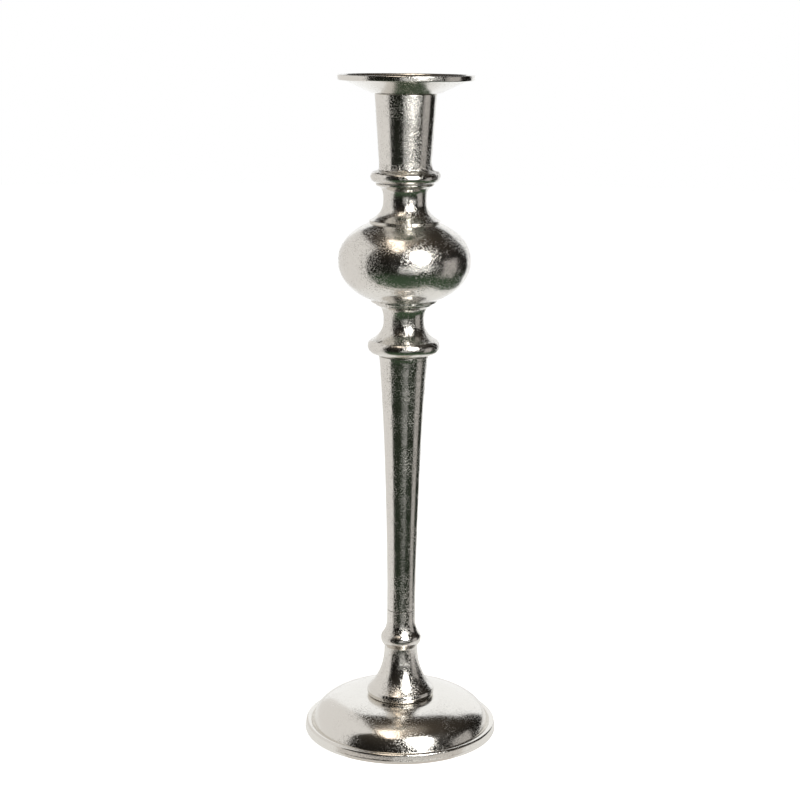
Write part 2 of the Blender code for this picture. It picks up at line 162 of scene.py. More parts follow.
class CandlestickCasting(bpy.types.PropertyGroup):
    """How uneven the cast pieces are."""

    segments: bpy.props.IntProperty(name="Segments", description="Facets round a casting", default=240,
                                    min=24, max=512)
    wobble_height: length("Unevenness", "Depth of the slow waves left by filing and polishing", 0.10)
    wobble_size: length("Unevenness spacing", "Distance from one wave to the next", 9.0)
    seam_height: length("Seam height", "Height of the line where the mould's halves met", 0.13)
    filed_reach: length("Filed reach", "How far from the bulb's belt that line was filed off", 17.0)
    seam_width: length("Seam width", "Width of that line", 0.4)
    seam_angle: bpy.props.FloatProperty(name="Seam angle", description="Where that line stands on the knop",
                                        default=math.radians(-78.5), subtype="ANGLE")
    seed: bpy.props.IntProperty(name="Seed", description="Chooses the pattern of the waves", default=4)


class CandlestickFinish(bpy.types.PropertyGroup):
    """Colours and grain of the finishes."""

    nickel: colour("Nickel", "Face-on colour of the nickel plate", "#E3E0DA")
    tarnish: colour("Tarnish", "Colour of the nickel down in the pits", "#A39B90")
    steel: colour("Zinc plate", "Colour of the studs, the bolt and the washers", "#C3C6CA")
    board: colour("Board", "Colour of the pressed board", "#6B6255")
    felt: colour("Felt", "Colour of the felt", "#17181A")
    grain_size: length("Grain size", "Width of one grain of the casting sand", 0.9)
    grain_depth: length("Grain depth", "Depth of the pits that the sand left", 0.05)
    roughness: factor("Roughness", "Roughness of the polished nickel", 0.13)
    pit_roughness: factor("Pit roughness", "Roughness of the nickel down in the pits", 0.34)


class CandlestickStudio(bpy.types.PropertyGroup):
    """Brightness of the studio."""

    key: factor("Key light", "Brightness of the large oval light", 7.0, 50.0)
    warm: factor("Warm light", "Brightness of the overhead light", 2.3, 50.0)
    card: factor("White card", "Brightness of the card on the left", 0.84, 10.0)
    backdrop: factor("Backdrop", "Brightness of the sheet behind", 1.12, 10.0)
    floor: factor("Floor", "Brightness of the white floor as the metal mirrors it", 0.92, 10.0)


# ---- Outline helpers ----
def arc(centre, radii, start, end):
    """Points along an elliptical arc, its angles in degrees from outward towards upward."""
    steps = max(6, math.ceil(math.radians(abs(end - start)) * max(radii) / OUTLINE_STEP))
    points = []
    for i in range(steps + 1):
        angle = math.radians(start + (end - start) * i / steps)
        points.append((centre[0] + radii[0] * math.cos(angle), centre[1] + radii[1] * math.sin(angle)))
    return points


def sweep(start, start_pull, end, end_pull):
    """Points along a cubic curve that leaves each end in the direction of that end's pull."""
    corners = (start, (start[0] + start_pull[0], start[1] + start_pull[1]),
               (end[0] + end_pull[0], end[1] + end_pull[1]), end)
    steps = max(8, math.ceil(CURVE_LENGTH * math.dist(start, end) / OUTLINE_STEP))
    points = []
    for i in range(steps + 1):
        t = i / steps
        weights = ((1 - t) ** 3, 3 * t * (1 - t) ** 2, 3 * t * t * (1 - t), t ** 3)
        points.append(tuple(sum(w * corner[axis] for w, corner in zip(weights, corners)) for axis in (0, 1)))
    return points


def between(a, b, share):
    """The point at a share of the way from a to b."""
    return (a[0] + (b[0] - a[0]) * share, a[1] + (b[1] - a[1]) * share)


def eased(outline):
    """The outline with its sharp corners rounded."""
    points = [outline[0]]
    for before, corner, after in zip(outline, outline[1:], outline[2:]):
        reach_in, reach_out = math.dist(before, corner), math.dist(corner, after)
        if min(reach_in, reach_out) < CLOSE_UP / MM:
            continue
        heading_in = math.atan2(corner[1] - before[1], corner[0] - before[0])
        heading_out = math.atan2(after[1] - corner[1], after[0] - corner[0])
        turn = abs(math.remainder(heading_out - heading_in, math.tau))
        if turn < math.radians(CORNER_TURN):
            points.append(corner)
            continue
        cut = min(CORNER_EASE, CORNER_SHARE * reach_in, CORNER_SHARE * reach_out)
        start, end = between(corner, before, cut / reach_in), between(corner, after, cut / reach_out)
        for i in range(CORNER_STEPS + 1):
            t = i / CORNER_STEPS
            points.append(between(between(start, corner, t), between(corner, end, t), t))
    return points + [outline[-1]]


def refined(outline):
    """The outline with its long straight stretches divided."""
    points = [outline[0]]
    for a, b in zip(outline, outline[1:]):
        steps = max(1, math.ceil(math.dist(a, b) / OUTLINE_STEP))
        points += [between(a, b, i / steps) for i in range(1, steps + 1)]
    return points


def tapped_from_top(height):
    """Blind stud hole, from its floor on the axis up to its mouth, in a face at height."""
    return [(0.0, height - STUD_HOLE_DEPTH), (TAPPED_RADIUS, height - STUD_HOLE_DEPTH),
            (TAPPED_RADIUS, height)]


def tapped_from_below(depth):
    """Blind hole in the face that a piece stands on, from its mouth up to the axis."""
    return [(TAPPED_RADIUS, 0.0), (TAPPED_RADIUS, depth), (0.0, depth)]


# ---- Outlines of the castings ----
TAPPED_RADIUS = 4.2
STUD_HOLE_DEPTH = 13.6
BOLT_HOLE_DEPTH = 21.0
EASE = 0.4                  # edge taken off the end faces
JOINT_EASE = 0.12           # edge taken off where shaft and foot stem meet
GROOVE = (54.5, 5.2)        # where the dome meets the rim
SHOULDER = (49.4, 14.2)     # where the dome starts to fall steeply
RIM_HEIGHT = 6.3
RIM_CLEARANCE = 0.15        # the metal rim stays this far above the table
RIM_TOP_ROUND = (1.9, 1.3)  # radii, outward and upward, of the rim's upper edge
RIM_FOOT_ROUND = (0.8, 1.45)
REBATE_RADIUS = 54.4        # recess that takes the board and the felt
REBATE_TOP = 3.1
BASE_WALL = 3.0
BOSS_RADIUS = 14.0
BOSS_THICKNESS = 5.0
BASE_HOLE_RADIUS = 4.5
STEM_RING_Z = 36.0
STEM_RING_ROUND = (1.2, 3.0)
BULB_Z = 56.3
BULB_RISE = 25.6
BULB_BELT = 1.0             # half of the short upright belt round the bulb
UPPER_LEDGE_RADIUS = 21.4
LOWER_LEDGE_RADIUS = 19.8
STEP_RADIUS = 17.0
DISC_RADIUS = 17.4
RING_Z = 5.6
RING_ROUND = (4.4, 4.6)
BEAD_ROUND = 3.3            # half of the bead's height
WELL_RADIUS = 11.8
WELL_FLOOR = 22.0
COUNTERBORE_RADIUS = 14.5
COUNTERBORE_DEPTH = 16.4
PLATE_FLOOR = 2.7
PLATE_FOOT_RADIUS = 21.0
PLATE_LEDGE_RADIUS = 35.6
PLATE_RIM_BAND = 3.4
PLATE_RIM_WIDTH = 2.6
SLEEVE_RADIUS = 14.2
SLEEVE_BORE_RADIUS = 11.6


def base_outline(sizes):
    """Domed foot with a moulded rim, hollow underneath, with a boss for the bolt."""
    rim, flange = sizes.base_radius / MM, sizes.flange_radius / MM
    outline = [(BASE_HOLE_RADIUS, BASE_SEAT), (flange - 1.4, BASE_SEAT)]
    outline += sweep((flange, BASE_SEAT - 0.1), (11.0, 0.0), SHOULDER, (-7.5, 6.5))
    outline += sweep(SHOULDER, (2.6, -2.3), GROOVE, (-1.2, 3.3))[1:]
    outline += arc((rim - 2.5, RIM_HEIGHT - RIM_TOP_ROUND[1]), RIM_TOP_ROUND, 140, 0)
    outline += arc((rim - RIM_FOOT_ROUND[0], RIM_CLEARANCE + RIM_FOOT_ROUND[1]), RIM_FOOT_ROUND, 40, -90)
    wall_foot = REBATE_RADIUS - BASE_WALL
    roof = BASE_SEAT - BASE_WALL
    outline += [(REBATE_RADIUS, RIM_CLEARANCE), (REBATE_RADIUS, REBATE_TOP), (wall_foot, REBATE_TOP)]
    outline += sweep((wall_foot, REBATE_TOP + 2.0), (-1.2, 9.5), (BOSS_RADIUS + 8.0, roof), (19.0, 0.0))
    outline += [(BOSS_RADIUS + 1.2, roof), (BOSS_RADIUS, BASE_SEAT - BOSS_THICKNESS)]
    return outline + [(BASE_HOLE_RADIUS, BASE_SEAT - BOSS_THICKNESS), outline[0]]


def foot_stem_outline(sizes):
    """Trumpet foot with a banded flange and a small ring below the shaft."""
    top, flange = FOOT_STEM_HEIGHT, sizes.flange_radius / MM
    ring, stem_top = sizes.stem_ring_radius / MM, sizes.stem_top_radius / MM
    outline = tapped_from_top(top) + [(stem_top - JOINT_EASE, top), (stem_top, top - JOINT_EASE)]
    outline += sweep((stem_top + 0.1, STEM_RING_Z + 11.5), (0.1, -4.0),
                     (ring - 1.1, STEM_RING_Z + 3.4), (-1.5, 1.6))
    outline += arc((ring - STEM_RING_ROUND[0], STEM_RING_Z), STEM_RING_ROUND, 65, -65)
    outline += sweep((ring - 2.2, STEM_RING_Z - 5.0), (-0.1, -11.5), (flange - 0.6, 4.1), (-6.4, 6.0))
    outline += [(flange, 2.4), (flange - 0.3, 0.2), (flange - 0.9, -0.2), (flange - 1.6, -0.2)]
    outline.append((flange - 1.8, 0.0))
    return outline + tapped_from_below(BOLT_HOLE_DEPTH)


def shaft_outline(sizes):
    """Slender shaft that widens upwards."""
    top, foot = sizes.shaft_top_radius / MM, sizes.stem_top_radius / MM
    outline = tapped_from_top(SHAFT_HEIGHT) + [(top, SHAFT_HEIGHT)]
    outline += sweep((top - EASE, SHAFT_HEIGHT - 2.2), (-2.4, -24.0), (foot, JOINT_EASE), (0.0, 58.0))
    return outline + [(foot - JOINT_EASE, 0.0)] + tapped_from_below(STUD_HOLE_DEPTH)


def bulb_level(radius, knop):
    """Height above the belt's edge at which the bulb has the given radius."""
    return BULB_RISE * math.sqrt(1.0 - (radius / knop) ** 2)


def upper_neck(sizes, ledge):
    """Disc, neck and thin ledge above the bulb."""
    top, neck = KNOP_HEIGHT, sizes.upper_neck_radius / MM
    outline = [(DISC_RADIUS - EASE, top), (DISC_RADIUS, top - EASE), (DISC_RADIUS - 0.2, top - 1.4)]
    outline += sweep((DISC_RADIUS - 1.7, top - 2.0), (-2.0, -1.2), (neck, top - 9.0), (0.0, 3.0))
    outline += sweep((neck, top - 10.6), (0.0, -6.6), (UPPER_LEDGE_RADIUS - 0.5, ledge + 0.1), (-2.6, 1.3))
    return outline + [(UPPER_LEDGE_RADIUS, ledge - 0.3), (UPPER_LEDGE_RADIUS - 0.5, ledge - 0.8)]


def lower_neck(sizes, ledge):
    """Ledge, step and neck below the bulb, down to the ring."""
    neck, ring = sizes.lower_neck_radius / MM, sizes.ring_radius / MM
    outline = [(LOWER_LEDGE_RADIUS, ledge - 0.6), (LOWER_LEDGE_RADIUS - 0.3, ledge - 1.3)]
    outline += [(STEP_RADIUS, ledge - 1.9), (STEP_RADIUS - 0.1, ledge - 2.9)]
    outline += sweep((STEP_RADIUS - 1.8, ledge - 3.6), (-1.9, -1.2), (neck, ledge - 11.5), (0.0, 3.0))
    return outline + sweep((neck, ledge - 13.0), (0.0, -5.6), (ring - 1.6, RING_Z + 3.6), (-3.6, 1.6))


def knop_outline(sizes):
    """Flattened bulb between two necks, with a disc on top and a ring underneath."""
    knop, ring = sizes.knop_radius / MM, sizes.ring_radius / MM
    rise_above = bulb_level(UPPER_LEDGE_RADIUS - 0.6, knop)
    rise_below = bulb_level(LOWER_LEDGE_RADIUS - 0.1, knop)
    bulb_start = math.degrees(math.asin(rise_above / BULB_RISE))
    bulb_end = math.degrees(math.asin(rise_below / BULB_RISE))
    outline = tapped_from_top(KNOP_HEIGHT)
    outline += upper_neck(sizes, BULB_Z + BULB_BELT + rise_above + 1.3)
    outline += arc((0.0, BULB_Z + BULB_BELT), (knop, BULB_RISE), bulb_start, 0)
    outline += arc((0.0, BULB_Z - BULB_BELT), (knop, BULB_RISE), 0, -bulb_end)
    outline += lower_neck(sizes, BULB_Z - BULB_BELT - rise_below)
    outline += arc((ring - RING_ROUND[0], RING_Z), RING_ROUND, 46, -80)
    outline.append((sizes.shaft_top_radius / MM + EASE, 0.0))
    return outline + tapped_from_below(STUD_HOLE_DEPTH)


def candle_cup_outline(sizes):
    """Tapered cup on a rounded bead, bored for the sleeve and the candle."""
    top, foot, bead = sizes.cup_top_radius / MM, sizes.cup_foot_radius / MM, sizes.bead_radius / MM
    step = CUP_HEIGHT - COUNTERBORE_DEPTH
    outline = [(0.0, WELL_FLOOR), (WELL_RADIUS, WELL_FLOOR), (WELL_RADIUS, step)]
    outline += [(COUNTERBORE_RADIUS, step), (COUNTERBORE_RADIUS, CUP_HEIGHT)]
    outline += [(top - EASE, CUP_HEIGHT), (top, CUP_HEIGHT - EASE)]
    outline += sweep((foot, 8.2), (0.0, -1.0), (bead - 2.7, 6.6), (-0.9, 0.1))
    outline += arc((bead - BEAD_ROUND, BEAD_ROUND), (BEAD_ROUND, BEAD_ROUND), 70, -80)
    return outline + [(bead - BEAD_ROUND, 0.0)] + tapped_from_below(STUD_HOLE_DEPTH)


def drip_plate_outline(sizes):
    """Shallow dish with an upright rim band and a sleeve that hangs below its middle."""
    rim, top = sizes.plate_radius / MM, PLATE_HEIGHT
    inner = rim - PLATE_RIM_WIDTH
    band = top - PLATE_RIM_BAND
    outline = [(SLEEVE_BORE_RADIUS, PLATE_FLOOR - 0.7), (SLEEVE_BORE_RADIUS + 0.7, PLATE_FLOOR)]
    outline += [(PLATE_FOOT_RADIUS - 1.6, PLATE_FLOOR), (inner - 1.0, top - 1.1), (inner, top)]
    outline += [(rim - EASE, top), (rim, top - EASE), (rim - 0.2, band + EASE), (rim - 0.7, band)]
    outline += [(PLATE_LEDGE_RADIUS, band - 0.1), (PLATE_FOOT_RADIUS, 0.0), (SLEEVE_RADIUS, 0.0)]
    outline += [(SLEEVE_RADIUS, EASE - SLEEVE_LENGTH), (SLEEVE_RADIUS - EASE, -SLEEVE_LENGTH)]
    return outline + [(SLEEVE_BORE_RADIUS, -SLEEVE_LENGTH), outline[0]]


# ---- Outlines of the small pieces ----
STUD_LENGTH = 26.0
BOLT_LENGTH = 30.0
BOLT_HEAD_HEIGHT = 5.3
BOLT_HEAD_RADIUS = 7.5
PLAIN_SHANK = 3.0           # stretch without thread under the bolt's head
ACROSS_FLATS = 13.0
CHAMFER = 0.6
THREAD_DEPTH = 0.62
WASHER_HOLE_RADIUS = 4.3
WASHER_RADIUS = 12.0
LOCK_WASHER_RADIUS = 7.4
LOCK_WASHER_SPLIT = 1.2
WASHER_THICKNESS = 2.0
BOARD_THICKNESS = 1.5
FELT_THICKNESS = 1.0


def stud_outline(sizes):
    """Stud with chamfered ends, its middle at height 0."""
    half, radius = STUD_LENGTH / 2, sizes.thread_radius / MM
    return [(0.0, half), (radius - CHAMFER, half), (radius, half - CHAMFER),
            (radius, CHAMFER - half), (radius - CHAMFER, -half), (0.0, -half)]


def bolt_outline(sizes):
    """Bolt with its head underneath, drawn round: the head's flats are cut afterwards."""
    head, shank, radius = BOLT_HEAD_HEIGHT, BOLT_HEAD_HEIGHT + BOLT_LENGTH, sizes.thread_radius / MM
    return [(0.0, shank), (radius - CHAMFER, shank), (radius, shank - CHAMFER), (radius, head + 0.3),
            (radius + 0.3, head), (BOLT_HEAD_RADIUS, head), (BOLT_HEAD_RADIUS, 0.6),
            (BOLT_HEAD_RADIUS - 1.2, 0.0), (0.0, 0.0)]


def washer_outline(radius):
    """Flat ring with its underside at height 0."""
    hole, top = WASHER_HOLE_RADIUS, WASHER_THICKNESS
    return [(hole, top), (radius, top), (radius, 0.0), (hole, 0.0), (hole, top)]


def disc_outline(radius, thickness):
    """Flat disc with its underside at height 0."""
    return [(0.0, thickness), (radius, thickness), (radius, 0.0), (0.0, 0.0)]


# ---- Node helpers ----
MATH = "ShaderNodeMath"
VECTOR = "ShaderNodeVectorMath"
RANGE = "ShaderNodeMapRange"
NOISE = "ShaderNodeTexNoise"
MIX = "ShaderNodeMix"
BUMP = "ShaderNodeBump"
SEPARATE = "ShaderNodeSeparateXYZ"
COMBINE = "ShaderNodeCombineXYZ"
POSITION = "GeometryNodeInputPosition"
SET_POSITION = "GeometryNodeSetPosition"
MERGE = "GeometryNodeMergeByDistance"
MIX_A, MIX_B = 6, 7         # a mix node's two colours
MIX_RESULT = 2              # and its colour out


def add(tree, kind, feeds=(), **settings):
    """Add a node with its settings.

    Feeds, in the order of the inputs or by name, are values, sockets or nodes, whose first output
    is taken.
    """
    node = tree.nodes.new(kind)
    for name, value in settings.items():
        setattr(node, name, value)
    named = feeds if isinstance(feeds, dict) else dict(enumerate(feeds))
    for name, feed in named.items():
        if isinstance(feed, bpy.types.Node):
            feed = feed.outputs[0]
        if isinstance(feed, bpy.types.NodeSocket):
            tree.links.new(feed, node.inputs[name])
        else:
            node.inputs[name].default_value = feed
    return node


def geometry_tree(name, *numbers, whole=()):
    """A geometry node tree and its inputs' sockets. Whole lists the inputs that are whole numbers."""
    tree = bpy.data.node_groups.new(name, "GeometryNodeTree")
    tree.interface.new_socket("Geometry", in_out="OUTPUT", socket_type="NodeSocketGeometry")
    kinds = {"Geometry": "Geometry", "Material": "Material"}
    kinds.update({socket: "Int" for socket in whole})
    kinds.update({socket: "Float" for socket in numbers})
    for socket, kind in kinds.items():
        tree.interface.new_socket(socket, in_out="INPUT", socket_type="NodeSocket" + kind)
    return tree, tree.nodes.new("NodeGroupInput").outputs


def close_tree(tree, given, geometry):
    """End a geometry tree in real geometry with its material."""
    real = add(tree, "GeometryNodeRealizeInstances", {"Geometry": geometry})
    dressed = add(tree, "GeometryNodeSetMaterial", {"Geometry": real, "Material": given["Material"]})
    add(tree, "NodeGroupOutput", (dressed,))
    return tree


def round_axis(tree):
    """Each point's height, radius and bearing, and its way outwards from the upright axis."""
    place = add(tree, SEPARATE, (add(tree, POSITION),))
    flat = add(tree, COMBINE, (place.outputs["X"], place.outputs["Y"]))
    radius = add(tree, VECTOR, (flat,), operation="LENGTH").outputs["Value"]
    bearing = add(tree, MATH, (place.outputs["Y"], place.outputs["X"]), operation="ARCTAN2")
    outward = add(tree, VECTOR, (flat,), operation="NORMALIZE")
    return place.outputs["Z"], radius, bearing, outward


def apart(tree, value, middle):
    """How far a value is from a middle one."""
    gap = add(tree, MATH, (value, middle), operation="SUBTRACT")
    return add(tree, MATH, (gap,), operation="ABSOLUTE")


def hump(tree, distance, width):
    """One in the middle, falling to nothing a width to either side."""
    share = add(tree, MATH, (distance, width), operation="DIVIDE")
    square = add(tree, MATH, (share, share), operation="MULTIPLY")
    return add(tree, MATH, (1.0, square), operation="SUBTRACT", use_clamp=True)


def shifted(tree, given, direction, distance):
    """The given geometry with its points moved a distance in a direction."""
    offset = add(tree, VECTOR, {0: direction, "Scale": distance}, operation="SCALE")
    return add(tree, SET_POSITION, {"Geometry": given["Geometry"], "Offset": offset})


# ---- Geometry trees ----
def turning_tree():
    """Turns an outline about the upright axis, with its facets crowded round the start angle."""
    tree, given = geometry_tree("turning", "Start Angle", "Crowding", whole=["Segments"])
    count = add(tree, "GeometryNodeAttributeDomainSize", {"Geometry": given["Geometry"]})
    columns = add(tree, MATH, (given["Segments"], 1.0), operation="ADD")
    grid = add(tree, "GeometryNodeMeshGrid", {"Size X": 1.0, "Size Y": 1.0, "Vertices X": columns,
                                              "Vertices Y": count})
    place = add(tree, SEPARATE, (add(tree, POSITION),))
    across = add(tree, MATH, (place.outputs["X"], 0.5), operation="ADD")
    down = add(tree, MATH, (place.outputs["Y"], 0.5), operation="ADD")
    turn = add(tree, MATH, (across, math.tau), operation="MULTIPLY")
    bend = add(tree, MATH, (turn,), operation="SINE")
    pull = add(tree, MATH, (bend, given["Crowding"]), operation="MULTIPLY")
    crowded = add(tree, MATH, (turn, pull), operation="SUBTRACT")
    angle = add(tree, MATH, (crowded, given["Start Angle"]), operation="ADD")
    last = add(tree, MATH, (count, 1.0), operation="SUBTRACT")
    row = add(tree, MATH, (down, last), operation="MULTIPLY")
    index = add(tree, "FunctionNodeFloatToInt", (row,), rounding_mode="ROUND")
    sample = add(tree, "GeometryNodeSampleIndex", {
        "Geometry": given["Geometry"], "Value": add(tree, POSITION), "Index": index,
    }, data_type="FLOAT_VECTOR")
    point = add(tree, SEPARATE, (sample,))
    eastward = add(tree, MATH, (angle,), operation="COSINE")
    northward = add(tree, MATH, (angle,), operation="SINE")
    spoke = add(tree, COMBINE, (eastward, northward))
    ring = add(tree, VECTOR, {0: spoke, "Scale": point.outputs["X"]}, operation="SCALE")
    rise = add(tree, COMBINE, {"Z": point.outputs["Z"]})
    position = add(tree, VECTOR, (ring, rise), operation="ADD")
    turned = add(tree, SET_POSITION, {"Geometry": grid, "Position": position})
    closed = add(tree, MERGE, {"Geometry": turned, "Distance": CLOSE_UP})
    outward = add(tree, "GeometryNodeFlipFaces", {"Mesh": closed})
    return close_tree(tree, given, outward)


def casting_tree():
    """Gives a turned piece slow waves, which only go inwards, and the mould's seam, which stands proud."""
    tree, given = geometry_tree("casting", "Wave Height", "Wave Spacing", "Seam Height", "Seam Width",
                                "Seam Angle", "Filed Height", "Filed Reach", "Seed")
    height, radius, angle, spoke = round_axis(tree)
    normal = add(tree, "GeometryNodeInputNormal")
    frequency = add(tree, MATH, (1.0, given["Wave Spacing"]), operation="DIVIDE")
    noise = add(tree, NOISE, {"Vector": add(tree, POSITION), "W": given["Seed"], "Scale": frequency,
                              "Detail": 2.0, "Roughness": 0.45}, noise_dimensions="4D")
    dip = add(tree, RANGE, {"Value": noise, "From Min": 0.25, "From Max": 0.75, "To Min": -1.0,
                            "To Max": 0.0})
    wave = add(tree, MATH, (dip, given["Wave Height"]), operation="MULTIPLY")

    drift = add(tree, NOISE, {"W": height, "Scale": SEAM_TURNS, "Detail": 1.0}, noise_dimensions="1D")
    stray = add(tree, RANGE, {"Value": drift, "To Min": -SEAM_STRAY, "To Max": SEAM_STRAY})
    bearing = add(tree, MATH, (given["Seam Angle"], stray), operation="ADD")
    swing = add(tree, MATH, (angle, bearing), operation="SUBTRACT")
    aside = add(tree, MATH, (swing, radius), operation="MULTIPLY")
    fall = hump(tree, aside, given["Seam Width"])
    away = apart(tree, height, given["Filed Height"])
    left = add(tree, MATH, (away, given["Filed Reach"]), operation="GREATER_THAN")
    facing = add(tree, VECTOR, (spoke, normal), operation="DOT_PRODUCT").outputs["Value"]
    outer = add(tree, MATH, (facing, OUTER_FACING), operation="GREATER_THAN")
    open_wall = add(tree, MATH, (left, outer), operation="MULTIPLY")
    whole = add(tree, MATH, (fall, open_wall), operation="MULTIPLY")
    ridge = add(tree, MATH, (whole, given["Seam Height"]), operation="MULTIPLY")
    lift = add(tree, MATH, (wave, ridge), operation="ADD")
    return close_tree(tree, given, shifted(tree, given, normal, lift))


def solder_tree():
    """Builds an uneven ring of solder round a joint, with one run that climbs higher."""
    tree, given = geometry_tree("solder", "Joint Height", "Rise", "Bulge", "Run Angle", "Run Width",
                                "Outside Radius")
    height, radius, angle, outward = round_axis(tree)
    outside = add(tree, MATH, (radius, given["Outside Radius"]), operation="GREATER_THAN")
    distance = apart(tree, height, given["Joint Height"])
    climb = add(tree, MATH, (distance, given["Rise"]), operation="DIVIDE")
    fillet = add(tree, MATH, (1.0, climb), operation="SUBTRACT", use_clamp=True)
    hollow = add(tree, MATH, (fillet, FILLET_HOLLOW), operation="POWER")
    lumps = add(tree, NOISE, {"Vector": add(tree, POSITION), "Scale": LUMPS_A_METRE, "Detail": 2.0})
    uneven = add(tree, RANGE, {"Value": lumps, "From Min": 0.35, "From Max": 0.7, "To Max": 0.35})
    swing = add(tree, MATH, (angle, given["Run Angle"]), operation="SUBTRACT")
    run = hump(tree, swing, given["Run Width"])
    amount = add(tree, MATH, (uneven, run), operation="MAXIMUM")
    shaped = add(tree, MATH, (amount, hollow), operation="MULTIPLY")
    kept = add(tree, MATH, (shaped, outside), operation="MULTIPLY")
    thick = add(tree, MATH, (kept, given["Bulge"]), operation="MULTIPLY")
    return close_tree(tree, given, shifted(tree, given, outward, thick))


def thread_tree():
    """Cuts a helical thread into the round wall between two heights."""
    tree, given = geometry_tree("thread", "Radius", "Pitch", "Depth", "Bottom", "Top")
    height, radius, angle, outward = round_axis(tree)
    wall = add(tree, MATH, (radius, given["Radius"], WALL_MARGIN * MM), operation="COMPARE")
    turns = add(tree, MATH, (angle, math.tau), operation="DIVIDE")
    levels = add(tree, MATH, (height, given["Pitch"]), operation="DIVIDE")
    phase = add(tree, MATH, (levels, turns), operation="SUBTRACT")
    tooth = add(tree, MATH, (phase, 0.5), operation="PINGPONG")
    groove = add(tree, MATH, (tooth, 2.0), operation="MULTIPLY")
    low = add(tree, MATH, (height, given["Bottom"]), operation="GREATER_THAN")
    high = add(tree, MATH, (height, given["Top"]), operation="LESS_THAN")
    inside = add(tree, MATH, (low, high), operation="MULTIPLY")
    where = add(tree, MATH, (inside, wall), operation="MULTIPLY")
    cut = add(tree, MATH, (groove, where), operation="MULTIPLY")
    depth = add(tree, MATH, (given["Depth"], -1.0), operation="MULTIPLY")
    inward = add(tree, MATH, (cut, depth), operation="MULTIPLY")
    return close_tree(tree, given, shifted(tree, given, outward, inward))


def hexagon_tree():
    """Cuts six flats into a round head."""
    tree, given = geometry_tree("hexagon", "Across Flats")
    sixth = math.tau / 6
    _height, radius, angle, outward = round_axis(tree)
    turned = add(tree, MATH, (angle, math.tau + sixth / 2), operation="ADD")
    within = add(tree, MATH, (turned, sixth), operation="MODULO")
    aside = add(tree, MATH, (within, sixth / 2), operation="SUBTRACT")
    cosine = add(tree, MATH, (aside,), operation="COSINE")
    apothem = add(tree, MATH, (given["Across Flats"], 2.0), operation="DIVIDE")
    limit = add(tree, MATH, (apothem, cosine), operation="DIVIDE")
    excess = add(tree, MATH, (limit, radius), operation="SUBTRACT")
    inward = add(tree, MATH, (excess, 0.0), operation="MINIMUM")
    moved = shifted(tree, given, outward, inward)
    joined = add(tree, MERGE, {"Geometry": moved, "Distance": CLOSE_UP})
    return close_tree(tree, given, joined)


# ---- Making pieces ----
TREES = {"turning": turning_tree, "casting": casting_tree, "solder": solder_tree,
         "thread": thread_tree, "hexagon": hexagon_tree}


def run_tree(obj, name, values):
    """Add a geometry tree to an object and set its named inputs."""
    tree = bpy.data.node_groups.get(name) or TREES[name]()
    modifier = obj.modifiers.new(name, "NODES")
    modifier.node_group = tree
    sockets = {item.name: item.identifier for item in tree.interface.items_tree if item.in_out == "INPUT"}
    for label, value in values.items():
        modifier[sockets[label]] = value


def settle(obj, height):
    """Make an object's result a plain mesh, with its height in the mesh."""
    graph = bpy.context.evaluated_depsgraph_get()
    mesh = bpy.data.meshes.new_from_object(obj.evaluated_get(graph))
    drawing = obj.data
    obj.modifiers.clear()
    obj.data = mesh
    bpy.data.meshes.remove(drawing)
    for vertex in mesh.vertices:
        vertex.co.z += height * MM
    mesh.shade_smooth()
    mesh.set_sharp_from_angle(angle=math.radians(CREASE_ANGLE))
    mesh.name = obj.name


def turned_piece(name, outline, height, segments, material, steps=(), start=0.0, crowding=0.0):
    """Turn an outline, run the further trees on it and stand it at its height."""
    points = [(radius * MM, 0.0, level * MM) for radius, level in refined(eased(outline))]
    drawing = bpy.data.meshes.new(name + "_outline")
    drawing.from_pydata(points, [(i, i + 1) for i in range(len(points) - 1)], [])
    obj = bpy.data.objects.new(name, drawing)
    bpy.context.scene.collection.objects.link(obj)
    run_tree(obj, "turning", {"Segments": segments, "Start Angle": start, "Crowding": crowding,
                              "Material": material})
    for tree, values in steps:
        run_tree(obj, tree, {**values, "Material": material})
    settle(obj, height)
    return obj


def fit(obj, node, body):
    """Put a finished piece in the place of a node of the frame."""
    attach(obj, body)
    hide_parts(node)


def waves(casting, number, strength=1.0, seam=0.0):
    """The casting step's values. Each piece's number gives it waves of its own."""
    return ("casting", {
        "Wave Height": casting.wobble_height * strength, "Wave Spacing": casting.wobble_size,
        "Seam Height": casting.seam_height * seam, "Seam Width": casting.seam_width,
        "Seam Angle": casting.seam_angle, "Filed Height": BULB_Z * MM,
        "Filed Reach": casting.filed_reach, "Seed": float(casting.seed + number)})


# ---- Finishes ----
def new_finish(name, numbers):
    """A new material, its tree, its shader with the given numbers, and where on the piece a point is."""
    material = bpy.data.materials.new(name)
    material.use_nodes = True
    tree = material.node_tree
    tree.nodes.clear()
    shader = add(tree, "ShaderNodeBsdfPrincipled", numbers)
    add(tree, "ShaderNodeOutputMaterial", {"Surface": shader})
    place = add(tree, "ShaderNodeTexCoord").outputs["Object"]
    return material, tree, shader, place


def dress(tree, shader, tone, height, depth, gloss=None):
    """Link a finish's colour, roughness and bump to its shader. The depth is in metres."""
    bump = add(tree, BUMP, {"Height": height, "Distance": depth, "Strength": 1.0})
    tree.links.new(tone.outputs[MIX_RESULT], shader.inputs["Base Color"])
    tree.links.new(bump.outputs[0], shader.inputs["Normal"])
    if gloss:
        tree.links.new(gloss.outputs[0], shader.inputs["Roughness"])


def shades(plain, *strengths):
    """Darker and lighter versions of a colour, with full cover."""
    return [(*(strength * channel for channel in plain), 1.0) for strength in strengths]


